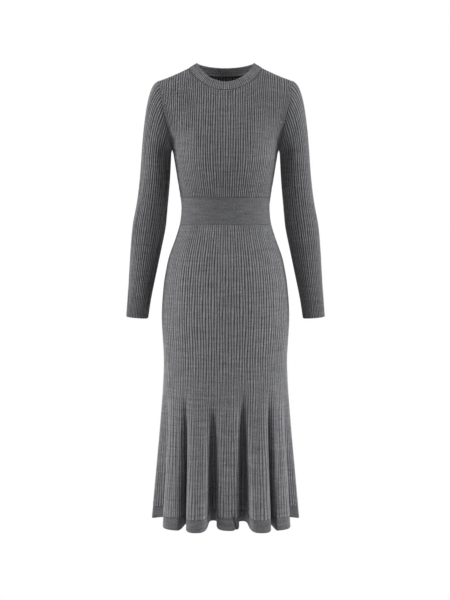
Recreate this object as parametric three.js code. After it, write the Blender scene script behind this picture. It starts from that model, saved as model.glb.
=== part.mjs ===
// A long-sleeved sweater dress in ribbed knit, hollow and filled out as it is worn.
// It has a front and a back bodice, two set-in sleeves, a ribbed neckband, a plain waistband,
// a ribbed skirt that flares into folds, and a plain band at its hem.
// Millimetres, +Z up, the front faces -Y. The origin is level with the tops of the shoulder
// seams, on the centre plane, where the wearer's shoulders hold the dress up.
import * as THREE from "three";

// The cloth
const WALL = 2.0; // the knit's thickness between two ribs
const RIB = 1.0; // how far a rib stands up from it
const CLOTH = WALL + RIB;
const BAND = 2.6; // the plain bands
const SEAM_GAP = 0.3; // between two pieces that are sewn together
const PANEL_RIBS = 56; // across the front, and across the back
const SLEEVE_RIBS = 36;
const NECK_RIBS = 84;
const PANEL_COLUMNS = 2 * PANEL_RIBS; // two columns of points make one rib
const PANEL_INSIDE = PANEL_RIBS / 2; // columns inside a bodice panel

// Heights
const UNDERARM = -205;
const WAIST_TOP = -332;
const WAIST_BOTTOM = -400;
const FLARE_TOP = -815; // where the folds of the skirt begin
const HEM_SEAM = -1121;
const HEM = -1150;
const BICEP = -225;
const CUFF = -636;
const CUFF_TILT = 0.08; // the cuff is square to the sleeve, so its outer side is higher
const ARMHOLE_MIDDLE = -123;
const ARMHOLE_HALF_DEPTH = 50;
const ARMHOLE_HALF_HEIGHT = 82;

// The body of the dress over its ribs: half width at the side, depth to the front and to the back
const BODY = [
  { z: -1150, side: 189, front: 128, back: 120 },
  { z: -1016, side: 176.7, front: 118, back: 114 },
  { z: -924, side: 168.2, front: 112, back: 109 },
  { z: -863, side: 163.3, front: 108, back: 107 },
  { z: -802, side: 159, front: 105, back: 106 },
  { z: -741, side: 157.3, front: 104, back: 108 },
  { z: -634, side: 162.4, front: 109, back: 119 },
  { z: -557, side: 157.7, front: 109, back: 120 },
  { z: -511, side: 150.5, front: 107, back: 115 },
  { z: -481, side: 143.4, front: 104, back: 108 },
  { z: -435, side: 127.1, front: 97, back: 97 },
  { z: -400, side: 116.7, front: 91, back: 89 },
  { z: -358, side: 112.5, front: 87, back: 83 },
  { z: -332, side: 114.8, front: 90, back: 84 },
  { z: -282, side: 122.5, front: 106, back: 89 },
  { z: -245, side: 128.4, front: 117, back: 93 },
  { z: -205, side: 135.2, front: 115, back: 96 },
];

// The armhole seam, inside the cloth, up from the underarm to the shoulder tip
const ARMHOLE = [
  { up: 0, x: 137.5, z: -204, front: 0, back: 0 },
  { up: 0.17, x: 138.2, z: -191, front: 33, back: 31 },
  { up: 0.4, x: 147, z: -147, front: 50, back: 47 },
  { up: 0.63, x: 159, z: -98, front: 47, back: 45 },
  { up: 0.82, x: 164, z: -63, front: 29, back: 28 },
  { up: 1, x: 170, z: -41, front: 0, back: 0 },
];

// The neckband's two edges, inside the cloth
const NECK_SEAM = {
  side: 91.5,
  sideZ: -2.6,
  front: 67,
  frontZ: -61,
  back: 55,
  backZ: -19,
};
const NECK_EDGE = {
  side: 70.5,
  sideZ: 9,
  front: 57,
  frontZ: -39,
  back: 47,
  backZ: 1,
};
const NECK_CURVE = 1.5; // how round the neckline's scoop is, seen from the front
const NECK_ROUND = 1.25; // and from above, where 1 is an ellipse
const NECK_SHARE = 16 / 28; // of a panel's ribs, those that end at the neckband
const STRAIGHT_RIBS = 0.65; // how far the ribs below the neckband keep upright

// How the chest and the back curve between the underarm's level and the top edge
const CHEST_RISE = 52; // straight up from the fullest line
const ARMHOLE_RISE = 12;
const ARMHOLE_REACH = 34; // forward and back from the underarm, round the armhole
const NECK_SLOPE = 14; // the chest stands this far in front of the neckline
const NECK_RISE = 34;
const SHOULDER_DEPTH = 60; // the shoulder is this deep where it begins to round over
const SHOULDER_RISE = 8;
const EDGE_SHARE = 0.06; // of a half panel, the strip that the armhole seam draws in

// How the sleeve's cap leaves the armhole and comes down to the bicep
const CAP_START = { out: 1, outOnTop: 26, down: 6, downInFront: 24, downOnTop: 2 };
const CAP_END = { outOnTop: -7.5, up: 8, upOnTop: 97 };
const CAP_SPREAD = 1.3; // how soon the shoulder's roundness gives way towards the underarm

// The sleeve over its ribs, from the bicep to the cuff
const SLEEVE = [
  { z: -636, inner: 196.2, outer: 252.3, depth: 29, ahead: 16 },
  { z: -588, inner: 189.2, outer: 249.1, depth: 33, ahead: 9 },
  { z: -527, inner: 177, outer: 245.3, depth: 37, ahead: 2 },
  { z: -465, inner: 164.2, outer: 242, depth: 41, ahead: -3 },
  { z: -404, inner: 152, outer: 236.6, depth: 44, ahead: -5 },
  { z: -343, inner: 145.9, outer: 225.4, depth: 44, ahead: -4 },
  { z: -282, inner: 140.8, outer: 217.8, depth: 45, ahead: -2 },
  { z: -225, inner: 137.8, outer: 213.6, depth: 47, ahead: 0 },
];

// The hem's folds, inside the cloth: crests stand out and valleys go in, a row for each.
// rib counts the panel's ribs from its centre, and lift is how far the hem rises there.
const FRONT_FOLDS = [
  { rib: -28, x: -186, out: 0, lift: 0 },
  { rib: -22.6, x: -149, out: 70, lift: 5 },
  { rib: -18.2, x: -121, out: 133, lift: 0 },
  { rib: -14.4, x: -98, out: 96, lift: 4 },
  { rib: -9.3, x: -68, out: 163, lift: -1 },
  { rib: -4.4, x: -31, out: 78, lift: 8 },
  { rib: 0.8, x: 6, out: 149, lift: 0 },
  { rib: 6.1, x: 45, out: 80, lift: 7 },
  { rib: 11.3, x: 83, out: 163, lift: -1 },
  { rib: 15.6, x: 112, out: 98, lift: 4 },
  { rib: 19.2, x: 129, out: 133, lift: 0 },
  { rib: 22.9, x: 151, out: 68, lift: 5 },
  { rib: 28, x: 186, out: 0, lift: 0 },
];
const BACK_FOLDS = [
  { rib: -28, x: -186, out: 0, lift: 0 },
  { rib: -22.5, x: -149, out: 62, lift: 5 },
  { rib: -17.5, x: -116, out: 128, lift: 0 },
  { rib: -12.5, x: -80, out: 74, lift: 5 },
  { rib: -7.5, x: -46, out: 148, lift: -1 },
  { rib: -2.5, x: -12, out: 78, lift: 6 },
  { rib: 3, x: 24, out: 144, lift: 0 },
  { rib: 8, x: 59, out: 76, lift: 6 },
  { rib: 13, x: 93, out: 143, lift: -1 },
  { rib: 17.4, x: 119, out: 84, lift: 4 },
  { rib: 20.6, x: 137, out: 109, lift: 1 },
  { rib: 23.6, x: 157, out: 58, lift: 4 },
  { rib: 28, x: 186, out: 0, lift: 0 },
];
const CREST_ROUND = 1.1; // how full a crest is, as a share of the way to the next valley
const SIDE_ROUND = 0.7; // the fold at each side seam
const VALLEY_ROUND = 0.62; // the valleys are narrower
const FOLD_TURN = 0.45; // how far a fold turns with the body's round: 0 faces straight ahead
const FOLD_START = 1.25; // how gently the folds begin below FLARE_TOP

// The rows of points in each piece
const BODICE_ROWS = [-1, -2 / 3, -1 / 3, 0, 1 / 6, 2 / 6, 3 / 6, 4 / 6, 5 / 6, 1];
const ARMHOLE_ROWS = 6; // the rows of a bodice panel above its underarm
const BAND_ROWS = [WAIST_BOTTOM, -362, WAIST_TOP];
const SKIRT_ROWS = [HEM_SEAM, -1025, -930, -830, -600, -475, WAIST_BOTTOM];
const CAP_ROWS = [0, 1 / 3, 2 / 3]; // over the shoulder, from the armhole to the bicep
const ARM_ROWS = [BICEP, -305, -375, -440, -530, CUFF];

const FRONT = -1;
const BACK = 1;
const ACROSS = new THREE.Vector3(1, 0, 0);
const STEP = 0.004; // for the slopes that give a surface its way out

// The value of a table's column at a place between its rows, on a smooth curve through them.
// With levelEnds the curve is level at both ends.
function along(table, key, place, column, levelEnds = false) {
  let i = 0;
  while (i < table.length - 2 && place > table[i + 1][key]) i++;
  const slope = (k) => {
    if (levelEnds && (k === 0 || k === table.length - 1)) return 0;
    const before = table[Math.max(k - 1, 0)];
    const after = table[Math.min(k + 1, table.length - 1)];
    return (after[column] - before[column]) / (after[key] - before[key]);
  };
  const low = table[i];
  const high = table[i + 1];
  const span = high[key] - low[key];
  const t = (place - low[key]) / span;
  const bend = t * t * (3 - 2 * t);
  return (
    low[column] * (1 - bend) +
    high[column] * bend +
    span * t * (1 - t) * ((1 - t) * slope(i) - t * slope(i + 1))
  );
}

function smooth(from, to, value) {
  return THREE.MathUtils.smoothstep(value, from, to);
}

function mix(a, b, share) {
  return a + (b - a) * share;
}

function bezier(a, b, c, d, t) {
  const s = 1 - t;
  return new THREE.Vector3()
    .addScaledVector(a, s * s * s)
    .addScaledVector(b, 3 * s * s * t)
    .addScaledVector(c, 3 * s * t * t)
    .addScaledVector(d, t * t * t);
}

// The angle on a half ellipse, from its middle, that leaves a share of its length behind.
function ellipseAngle(width, depth, share) {
  const steps = 40;
  const lengths = [0];
  for (let i = 1; i <= steps; i++) {
    const angle = ((i - 0.5) / steps) * (Math.PI / 2);
    const piece = Math.hypot(width * Math.cos(angle), depth * Math.sin(angle));
    lengths.push(lengths[i - 1] + piece);
  }
  const wanted = Math.abs(share) * lengths[steps];
  let i = 0;
  while (i < steps - 1 && lengths[i + 1] < wanted) i++;
  const rest = (wanted - lengths[i]) / (lengths[i + 1] - lengths[i]);
  return Math.sign(share) * ((i + rest) / steps) * (Math.PI / 2);
}

// A point inside the cloth of the body at a height. across runs from -1 to 1 over a panel,
// in equal steps of length, so the ribs are evenly spaced.
function bodyPoint(face, across, z) {
  const width = along(BODY, "z", z, "side") - CLOTH;
  const depth = along(BODY, "z", z, face === FRONT ? "front" : "back") - CLOTH;
  const angle = ellipseAngle(width, depth, across);
  const y = Math.max(depth * Math.cos(angle), SEAM_GAP / 2);
  return new THREE.Vector3(width * Math.sin(angle), face * y, z);
}

// A point on one of the neckband's edges; angle 0 is the centre front and PI the centre back.
function neckPoint(edge, angle) {
  const inFront = Math.cos(angle) > 0;
  const depth = inFront ? edge.front : edge.back;
  const middleZ = inFront ? edge.frontZ : edge.backZ;
  const middle = Math.abs(Math.cos(angle));
  const y = depth * middle ** NECK_ROUND;
  return new THREE.Vector3(
    edge.side * Math.sin(angle),
    inFront ? -y : y,
    mix(edge.sideZ, middleZ, middle ** NECK_CURVE),
  );
}

// A point of the neckband's seam row, which lies on the bodice's own top edge, between that
// edge's points. columns is how many the bodice has on that side of its cloth.
function neckSeam(angle, columns) {
  const face = Math.cos(angle) > 0 ? FRONT : BACK;
  const side = Math.sin(angle) < 0 ? -1 : 1;
  const fromMiddle = Math.asin(Math.min(Math.abs(Math.sin(angle)), 1));
  const place = (k) => neckAngle(FRONT, k / (columns / 2));
  let k = 0;
  while (place(k + 1) < fromMiddle - 1e-9) k++;
  const rest = (fromMiddle - place(k)) / (place(k + 1) - place(k));
  const ends = [k, k + 1].map((n) => neckAngle(face, (side * n) / (columns / 2)));
  const [low, high] = ends.map((at) => neckPoint(NECK_SEAM, at));
  return low.lerp(high, rest).addScaledVector(neckRise(angle), SEAM_GAP / 2);
}

// The way up the neckband at its seam, and the way out of it.
function neckRise(angle) {
  return neckPoint(NECK_EDGE, angle).sub(neckPoint(NECK_SEAM, angle)).normalize();
}

function neckOut(angle) {
  const round = neckPoint(NECK_SEAM, angle + STEP).sub(
    neckPoint(NECK_SEAM, angle - STEP),
  );
  return round.cross(neckRise(angle)).normalize();
}

// The neckband's angle where a bodice rib ends.
function neckAngle(face, across) {
  const share = across / NECK_SHARE;
  const even = (share * Math.PI) / 2;
  const upright = Math.asin(THREE.MathUtils.clamp(share, -1, 1));
  const angle = mix(even, upright, STRAIGHT_RIBS);
  return face === FRONT ? angle : Math.PI - angle;
}

// The bodice's top edge: the neckline, then the shoulder seam.
function topEdge(face, across) {
  const share = Math.abs(across);
  if (share <= NECK_SHARE) {
    const angle = neckAngle(face, across);
    const point = neckPoint(NECK_SEAM, angle);
    point.addScaledVector(neckRise(angle), -SEAM_GAP / 2);
    if (face * point.y < SEAM_GAP / 2) point.y = (face * SEAM_GAP) / 2;
    return point;
  }
  const rest = (share - NECK_SHARE) / (1 - NECK_SHARE);
  const tip = ARMHOLE[ARMHOLE.length - 1];
  return new THREE.Vector3(
    Math.sign(across) * mix(NECK_SEAM.side, tip.x, rest),
    (face * SEAM_GAP) / 2,
    mix(NECK_SEAM.sideZ, tip.z, rest),
  );
}

// A point of the armhole seam on the +X side, from the underarm, 0, to the shoulder tip, 1.
function armholePoint(face, up) {
  const out = along(ARMHOLE, "up", up, face === FRONT ? "front" : "back");
  return new THREE.Vector3(
    along(ARMHOLE, "up", up, "x", true),
    face * Math.max(out, SEAM_GAP / 2),
    along(ARMHOLE, "up", up, "z", true),
  );
}

function armholeOut(face, up) {
  const point = armholePoint(face, up);
  const y = up === 0 || up === 1 ? 0 : point.y / ARMHOLE_HALF_DEPTH ** 2;
  const z = (point.z - ARMHOLE_MIDDLE) / ARMHOLE_HALF_HEIGHT ** 2;
  return new THREE.Vector3(0, y, z).normalize();
}

// The column of a bodice panel above the underarm, before the armhole is let in.
function chestPoint(face, across, up) {
  const share = Math.abs(across);
  const low = bodyPoint(face, across, UNDERARM);
  const top = topEdge(face, across);
  const toSide = share ** 4;
  const tip = ARMHOLE[ARMHOLE.length - 1];
  const reach = Math.abs(top.x) / tip.x;
  const width = top.x - low.x;
  const start = low.clone();
  start.x += 0.1 * width;
  start.y += face * ARMHOLE_REACH * toSide;
  start.z += mix(CHEST_RISE, ARMHOLE_RISE, toSide);
  const inFront = face === FRONT;
  const neckDepth = inFront ? NECK_SEAM.front : NECK_SEAM.back;
  const neckZ = inFront ? NECK_SEAM.frontZ : NECK_SEAM.backZ;
  const end = new THREE.Vector3(
    top.x - 0.1 * width,
    face * mix(neckDepth + NECK_SLOPE, SHOULDER_DEPTH, reach * reach),
    mix(neckZ - NECK_RISE, tip.z - SHOULDER_RISE, smooth(0, 1, reach)),
  );
  return bezier(low, start, end, top, up);
}

// A point inside the bodice's cloth. rise runs from -1 at the waist seam, over 0 at the
// underarm, to 1 at the neckline and the shoulder seam.
function bodicePoint(face, across, rise) {
  if (rise <= 0) {
    const low = WAIST_TOP + SEAM_GAP / 2;
    const point = bodyPoint(face, across, mix(UNDERARM, low, -rise));
    const side = Math.max(0, 1 - (1 - Math.abs(across)) / EDGE_SHARE) ** 2;
    const near = Math.max(0, 1 + 8 * rise);
    const pull = armholePoint(face, 0).x - bodyPoint(face, 1, UNDERARM).x;
    point.x += Math.sign(across) * pull * side * near;
    return point;
  }
  const point = chestPoint(face, across, rise);
  const side = Math.sign(across) || 1;
  const seam = armholePoint(face, rise);
  seam.x *= side;
  const edge = chestPoint(face, side, rise);
  const narrow = Math.max(0, 1 - (1 - Math.abs(across)) / EDGE_SHARE) ** 2;
  const wide = Math.abs(across) ** 3;
  const share = mix(narrow, wide, smooth(0, 0.4, rise));
  point.addScaledVector(seam.sub(edge), share);
  if (Math.abs(across) === 1) point.x -= (side * SEAM_GAP) / 2;
  return point;
}

// The way out of a panel: across its ribs times up them.
function panelOut(surface, face, across, rise) {
  const left = Math.max(across - STEP, -1);
  const right = Math.min(across + STEP, 1);
  const round = surface(face, right, rise).sub(surface(face, left, rise));
  const up = surface(face, across, rise + STEP).sub(surface(face, across, rise - STEP));
  return round.cross(up).multiplyScalar(-face).normalize();
}

function bodiceOut(face, across, rise) {
  const share = Math.abs(across);
  if (share === 1 && rise >= 0) return armholeOut(face, rise);
  if (rise === 1 && share <= NECK_SHARE) {
    const out = neckOut(neckAngle(face, across));
    if (share === NECK_SHARE) out.setY(0).normalize();
    return out;
  }
  if (rise === 1) {
    const hps = topEdge(face, NECK_SHARE);
    const tip = topEdge(face, 1);
    const out = new THREE.Vector3(hps.z - tip.z, 0, tip.x - hps.x).normalize();
    out.x *= Math.sign(across);
    return out;
  }
  const out = panelOut(bodicePoint, face, across, Math.min(Math.max(rise, -1 + STEP), 1 - STEP));
  if (rise === -1) out.setZ(0).normalize();
  if (share === 1) out.setY(0).normalize();
  return out;
}

// The folded hem, as a chain of curves that run level with the body at each crest and valley.
function foldPoint(face, across) {
  const folds = face === FRONT ? FRONT_FOLDS : BACK_FOLDS;
  const rib = (across * PANEL_RIBS) / 2;
  let i = 0;
  while (i < folds.length - 2 && rib > folds[i + 1].rib) i++;
  const ends = [folds[i], folds[i + 1]];
  const points = ends.map((f) => new THREE.Vector3(f.x, face * f.out, HEM + f.lift));
  const ways = ends.map((f) => {
    const at = f.rib / (PANEL_RIBS / 2);
    if (Math.abs(at) === 1) return new THREE.Vector3(0, -face * at, 0);
    const way = bodyPoint(face, at + STEP, HEM).sub(bodyPoint(face, at - STEP, HEM));
    return way.normalize().lerp(ACROSS, 1 - FOLD_TURN).normalize();
  });
  const chord = points[1].clone().sub(points[0]);
  const last = folds.length - 2;
  const crestFirst = i === 0 || (i < last && ends[0].out > ends[1].out);
  const rounds = crestFirst ? [CREST_ROUND, VALLEY_ROUND] : [VALLEY_ROUND, CREST_ROUND];
  const handles = ways.map((way, k) => {
    const atSide = (i === 0 && k === 0) || (i === last && k === 1);
    const share = atSide ? SIDE_ROUND : rounds[k];
    return way.clone().multiplyScalar(share * Math.abs(chord.dot(way)));
  });
  const t = (rib - folds[i].rib) / (folds[i + 1].rib - folds[i].rib);
  const start = points[0].clone().add(handles[0]);
  const end = points[1].clone().sub(handles[1]);
  return bezier(points[0], start, end, points[1], t);
}

// A point inside the skirt's cloth: the body's round above, the folds growing below.
function skirtPoint(face, across, z) {
  const point = bodyPoint(face, across, z);
  if (z >= FLARE_TOP) return point;
  const share = ((FLARE_TOP - z) / (FLARE_TOP - HEM)) ** FOLD_START;
  const fold = foldPoint(face, across).sub(bodyPoint(face, across, HEM));
  point.addScaledVector(fold, share);
  if (Math.abs(across) === 1) point.y = (face * SEAM_GAP) / 2;
  return point;
}

function skirtOut(face, across, z) {
  const left = Math.max(across - STEP, -1);
  const right = Math.min(across + STEP, 1);
  const round = skirtPoint(face, right, z).sub(skirtPoint(face, left, z));
  const up = skirtPoint(face, across, z + 1).sub(skirtPoint(face, across, z - 1));
  const out = round.cross(up).multiplyScalar(-face);
  if (Math.abs(across) === 1) out.setY(0);
  const edges = [WAIST_TOP, WAIST_BOTTOM, HEM_SEAM, HEM];
  if (edges.some((edge) => Math.abs(z - edge) < SEAM_GAP)) out.setZ(0);
  return out.normalize();
}

// The seam row of a sleeve lies on the bodice's own armhole edge, between its rows of points.
function armholeSeam(round) {
  const face = round <= 0.5 ? FRONT : BACK;
  const up = face === FRONT ? 2 * round : 2 * (1 - round);
  const row = Math.min(Math.floor(up * ARMHOLE_ROWS + 1e-9), ARMHOLE_ROWS - 1);
  const rest = up * ARMHOLE_ROWS - row;
  const ends = [row / ARMHOLE_ROWS, (row + 1) / ARMHOLE_ROWS];
  const [low, high] = ends.map((at) => bodicePoint(face, 1, at));
  const [lowOut, highOut] = ends.map((at) => armholeOut(face, at));
  const point = low.lerp(high, rest);
  point.x += SEAM_GAP;
  return { point, out: lowOut.lerp(highOut, rest) };
}

// A point inside the +X sleeve. round runs from 0 at the underarm over the front, 0.25, and
// the outer side, 0.5, to the back, 0.75.
function armPoint(round, z) {
  const inner = along(SLEEVE, "z", z, "inner") + CLOTH;
  const outer = along(SLEEVE, "z", z, "outer") - CLOTH;
  const depth = along(SLEEVE, "z", z, "depth") - CLOTH;
  const angle = 2 * Math.PI * round;
  const halfWidth = (outer - inner) / 2;
  const sideways = -halfWidth * Math.cos(angle);
  const tilt = CUFF_TILT * ((BICEP - z) / (BICEP - CUFF));
  return new THREE.Vector3(
    (outer + inner) / 2 + sideways,
    -along(SLEEVE, "z", z, "ahead") - depth * Math.sin(angle),
    z + tilt * sideways,
  );
}

function capPoint(round, down) {
  const seam = armholeSeam(round).point;
  const bicep = armPoint(round, BICEP);
  const onTop = (1 - Math.cos(2 * Math.PI * round)) / 2;
  const ahead = Math.abs(Math.sin(2 * Math.PI * round));
  const start = new THREE.Vector3(
    CAP_START.out + CAP_START.outOnTop * onTop ** CAP_SPREAD,
    0,
    -CAP_START.down - CAP_START.downInFront * ahead - CAP_START.downOnTop * onTop,
  );
  const end = new THREE.Vector3(
    CAP_END.outOnTop * onTop,
    0,
    CAP_END.up + CAP_END.upOnTop * onTop ** CAP_SPREAD,
  );
  return bezier(seam, start.add(seam), end.add(bicep), bicep, down);
}

// down runs from 0 to 1 over the cap, and past 1 it is the arm's rows of heights.
function sleevePoint(round, down) {
  if (down <= 1) return capPoint(round, down);
  return armPoint(round, mix(BICEP, CUFF, down - 1));
}

function sleeveOut(round, down) {
  const wrap = (value) => ((value % 1) + 1) % 1;
  const around = sleevePoint(wrap(round + STEP), down).sub(
    sleevePoint(wrap(round - STEP), down),
  );
  const low = Math.min(down + STEP, 2);
  const rise = sleevePoint(round, down - STEP).sub(sleevePoint(round, low));
  return around.cross(rise).normalize();
}

// One closed wall: an outer sheet of points over a plainer inner sheet, joined at the edges.
// at(share, row) gives a point inside the cloth and its way out, height(column) the cloth's
// thickness, and a round wall closes on itself.
function wall(name, colour, rows, outerColumns, innerColumns, at, height, round = false) {
  const positions = [];
  const index = [];
  const sheet = (columns, lifted) => {
    const first = positions.length / 3;
    const count = round ? columns : columns + 1;
    rows.forEach((row) => {
      for (let c = 0; c < count; c++) {
        const { point, out } = at(c / columns, row, lifted);
        const place = point.clone();
        if (lifted) place.addScaledVector(out, height(c));
        positions.push(place.x, place.y, place.z);
      }
    });
    return (r, c) => first + r * count + (round ? c % columns : c);
  };
  const outer = sheet(outerColumns, true);
  const inner = sheet(innerColumns, false);
  const quad = (a, b, c, d) => index.push(a, b, c, a, c, d);
  const last = rows.length - 1;
  for (let r = 0; r < last; r++) {
    for (let c = 0; c < outerColumns; c++) {
      quad(outer(r, c), outer(r, c + 1), outer(r + 1, c + 1), outer(r + 1, c));
    }
    for (let c = 0; c < innerColumns; c++) {
      quad(inner(r + 1, c), inner(r + 1, c + 1), inner(r, c + 1), inner(r, c));
    }
    if (!round) {
      quad(inner(r, 0), outer(r, 0), outer(r + 1, 0), inner(r + 1, 0));
      const o = outerColumns;
      const i = innerColumns;
      quad(outer(r, o), inner(r, i), inner(r + 1, i), outer(r + 1, o));
    }
  }
  const perInner = outerColumns / innerColumns;
  const edge = (r, turned) => {
    for (let c = 0; c < innerColumns; c++) {
      const half = Math.floor(perInner / 2);
      const triangles = [[inner(r, c), inner(r, c + 1), outer(r, c * perInner + half)]];
      for (let k = 0; k < perInner; k++) {
        const from = inner(r, k < half ? c : c + 1);
        const start = outer(r, c * perInner + k);
        const end = outer(r, c * perInner + k + 1);
        triangles.push([end, start, from]);
      }
      triangles.forEach((t) => index.push(...(turned ? t.reverse() : t)));
    }
  };
  edge(0, false);
  edge(last, true);
  const geometry = new THREE.BufferGeometry();
  geometry.setAttribute("position", new THREE.Float32BufferAttribute(positions, 3));
  geometry.setIndex(index);
  geometry.computeVertexNormals();
  const material = new THREE.MeshStandardMaterial({
    color: colour,
    roughness: 0.95,
    metalness: 0,
    flatShading: true,
  });
  const mesh = new THREE.Mesh(geometry, material);
  mesh.name = name;
  return mesh;
}

const RIBBED = new THREE.Color(0x646467);
const PLAIN = new THREE.Color(0x5f5f62);
const ribHeight = (column) => (column % 2 ? CLOTH : WALL);
const bandHeight = () => BAND;

// A panel's share from 0 to 1 as its place across: the columns run round the body the same way.
const acrossOf = (face, share) => -face * (2 * share - 1);

function bodice(name, face) {
  const at = (share, rise) => {
    const across = acrossOf(face, share);
    return { point: bodicePoint(face, across, rise), out: bodiceOut(face, across, rise) };
  };
  return wall(name, RIBBED, BODICE_ROWS, PANEL_COLUMNS, PANEL_INSIDE, at, ribHeight);
}

// A level stretch of the body: its end rows stop half a seam's gap short.
function stretch(name, face, colour, rows, columns, innerColumns, height, openBelow = false) {
  const last = rows.length - 1;
  const trimmed = rows.map((z, i) => {
    if (i === 0 && !openBelow) return z + SEAM_GAP / 2;
    return i === last ? z - SEAM_GAP / 2 : z;
  });
  const at = (share, z) => {
    const across = acrossOf(face, share);
    return { point: skirtPoint(face, across, z), out: skirtOut(face, across, z) };
  };
  return wall(name, colour, trimmed, columns, innerColumns, at, height);
}

function sleeve(name, side) {
  const arm = ARM_ROWS.map((z) => 1 + (BICEP - z) / (BICEP - CUFF));
  const at = (round, down) => {
    if (down === 0) return armholeSeam(round);
    return { point: sleevePoint(round, down), out: sleeveOut(round, down) };
  };
  const columns = 2 * SLEEVE_RIBS;
  const rows = [...CAP_ROWS, ...arm].reverse();
  const mesh = wall(name, RIBBED, rows, columns, columns / 3, at, ribHeight, true);
  mesh.scale.x = side;
  return mesh;
}

function neckband() {
  const at = (share, row, outside) => {
    const angle = 2 * Math.PI * share;
    const bodiceColumns = outside ? PANEL_COLUMNS : PANEL_INSIDE;
    const point = row ? neckPoint(NECK_EDGE, angle) : neckSeam(angle, bodiceColumns);
    return { point, out: neckOut(angle) };
  };
  const columns = 2 * NECK_RIBS;
  return wall("neckband", RIBBED, [0, 1], columns, NECK_RIBS / 2, at, ribHeight, true);
}

const dress = new THREE.Group();
for (const [side, face] of [
  ["front", FRONT],
  ["back", BACK],
]) {
  dress.add(bodice(`bodice_${side}`, face));
  dress.add(
    stretch(
      `waistband_${side}`,
      face,
      PLAIN,
      BAND_ROWS,
      PANEL_INSIDE,
      PANEL_INSIDE,
      bandHeight,
    ),
  );
  dress.add(
    stretch(`skirt_${side}`, face, RIBBED, SKIRT_ROWS, PANEL_COLUMNS, PANEL_COLUMNS, ribHeight),
  );
  dress.add(
    stretch(
      `hem_${side}`,
      face,
      PLAIN,
      [HEM, HEM_SEAM],
      PANEL_RIBS,
      PANEL_RIBS,
      bandHeight,
      true,
    ),
  );
}
dress.add(sleeve("sleeve_left", 1));
dress.add(sleeve("sleeve_right", -1));
dress.add(neckband());

export default dress;
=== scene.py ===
import bmesh
import bpy
import numpy as np
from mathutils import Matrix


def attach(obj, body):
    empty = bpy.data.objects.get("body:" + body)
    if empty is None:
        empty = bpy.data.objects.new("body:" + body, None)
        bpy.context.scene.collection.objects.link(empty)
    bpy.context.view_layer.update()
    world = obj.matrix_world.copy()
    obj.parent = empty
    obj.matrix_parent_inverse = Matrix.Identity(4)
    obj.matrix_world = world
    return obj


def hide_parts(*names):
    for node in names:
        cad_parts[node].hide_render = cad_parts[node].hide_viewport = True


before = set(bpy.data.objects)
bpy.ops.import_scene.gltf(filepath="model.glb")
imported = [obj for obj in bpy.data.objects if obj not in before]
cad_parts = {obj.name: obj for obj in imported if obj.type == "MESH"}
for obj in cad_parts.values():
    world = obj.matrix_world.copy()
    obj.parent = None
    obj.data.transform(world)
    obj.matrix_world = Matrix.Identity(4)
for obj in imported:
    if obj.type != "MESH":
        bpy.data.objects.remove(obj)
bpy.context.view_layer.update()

# Front and back bodice
# Two panels of rib knit in a grey marl wool, linked at the shoulders and the sides. Their ribs
# run up from the waist, draw in towards it, and bend aside round the armholes.
MM = 0.001
FRONT = -1
BACK = 1
WALL = 1.2  # the knit's thickness between two ribs, in millimetres as all sizes here
RIB = 1.8  # how far a rib stands up from it
CLOTH = WALL + RIB
SEAM_GAP = 0.3
BODICE_RIBS = 62  # a panel's
STITCH = 3.2  # the height of a stitch
YARN = 0.9  # what one layer of the knit measures where it is cut
TURN_IN = 1.2

UNDERARM = -205
WAIST_TOP = -332
WAIST_BOTTOM = -400
HEM = -1150

# Heights over the ribs, and there the half width at the side, the depth to the front and the back
BODY = np.array([
    (-1150, 189, 128, 120),
    (-1016, 176.7, 118, 114),
    (-924, 168.2, 112, 109),
    (-863, 163.3, 108, 107),
    (-802, 159, 105, 106),
    (-741, 157.3, 104, 108),
    (-634, 162.4, 109, 119),
    (-557, 157.7, 109, 120),
    (-511, 150.5, 107, 115),
    (-481, 143.4, 104, 108),
    (-435, 127.1, 97, 97),
    (-400, 116.7, 91, 89),
    (-358, 112.5, 87, 83),
    (-332, 114.8, 90, 84),
    (-282, 122.5, 106, 89),
    (-245, 128.4, 117, 93),
    (-205, 135.2, 115, 96),
])

# The armhole from the underarm, 0, to the shoulder tip, 1: x, z, depth in front and behind
ARMHOLE = np.array([
    (0, 137.5, -204, 0, 0),
    (0.17, 138.2, -191, 33, 31),
    (0.4, 147, -147, 50, 47),
    (0.63, 159, -98, 47, 45),
    (0.82, 164, -62, 29, 28),
    (1, 170, -39, 0, 0),
])
TIP_X = 170
TIP_Z = -39
SHOULDER_SAG = 1.5
ARMHOLE_MIDDLE = -123
ARMHOLE_HALF_DEPTH = 50
ARMHOLE_HALF_HEIGHT = 82

NECK_SEAM = {"side": 91.5, "side_z": -5, "front": 67, "front_z": -65, "back": 55, "back_z": -19}
NECK_EDGE = {"side": 70.5, "side_z": 7.5, "front": 57, "front_z": -43, "back": 47, "back_z": 0}
NECK_CURVE = 1.5
NECK_ROUND = 1.25
NECK_SHARE = 16 / 28
STRAIGHT_RIBS = 0.65

CHEST_RISE = 52
ARMHOLE_RISE = 12
ARMHOLE_REACH = 34
NECK_SLOPE = 14
NECK_RISE = 34
SHOULDER_DEPTH = 60
SHOULDER_RISE = 8
CORNER_SPREAD = np.linspace(-0.14, 0.14, 9)  # below the shoulder's neck end the cloth has no corner
CORNER_START = 0.82
CHEST_EASE = 0.1
SIDE_ROUND = 4
ARMHOLE_SPREAD = 3
ARMHOLE_START = 0.4
PULL_FADE = 8
EDGE_SHARE = 0.06
STEP = 0.004


def mix(a, b, share):
    return a + (b - a) * share


def smooth(low, high, value):
    t = np.clip((value - low) / (high - low), 0, 1)
    return t * t * (3 - 2 * t)


def place(x, y, z):
    return np.stack(np.broadcast_arrays(x, y, z), axis=-1).astype(float)


def unit(way):
    return way / np.maximum(np.linalg.norm(way, axis=-1, keepdims=True), 1e-12)


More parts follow.
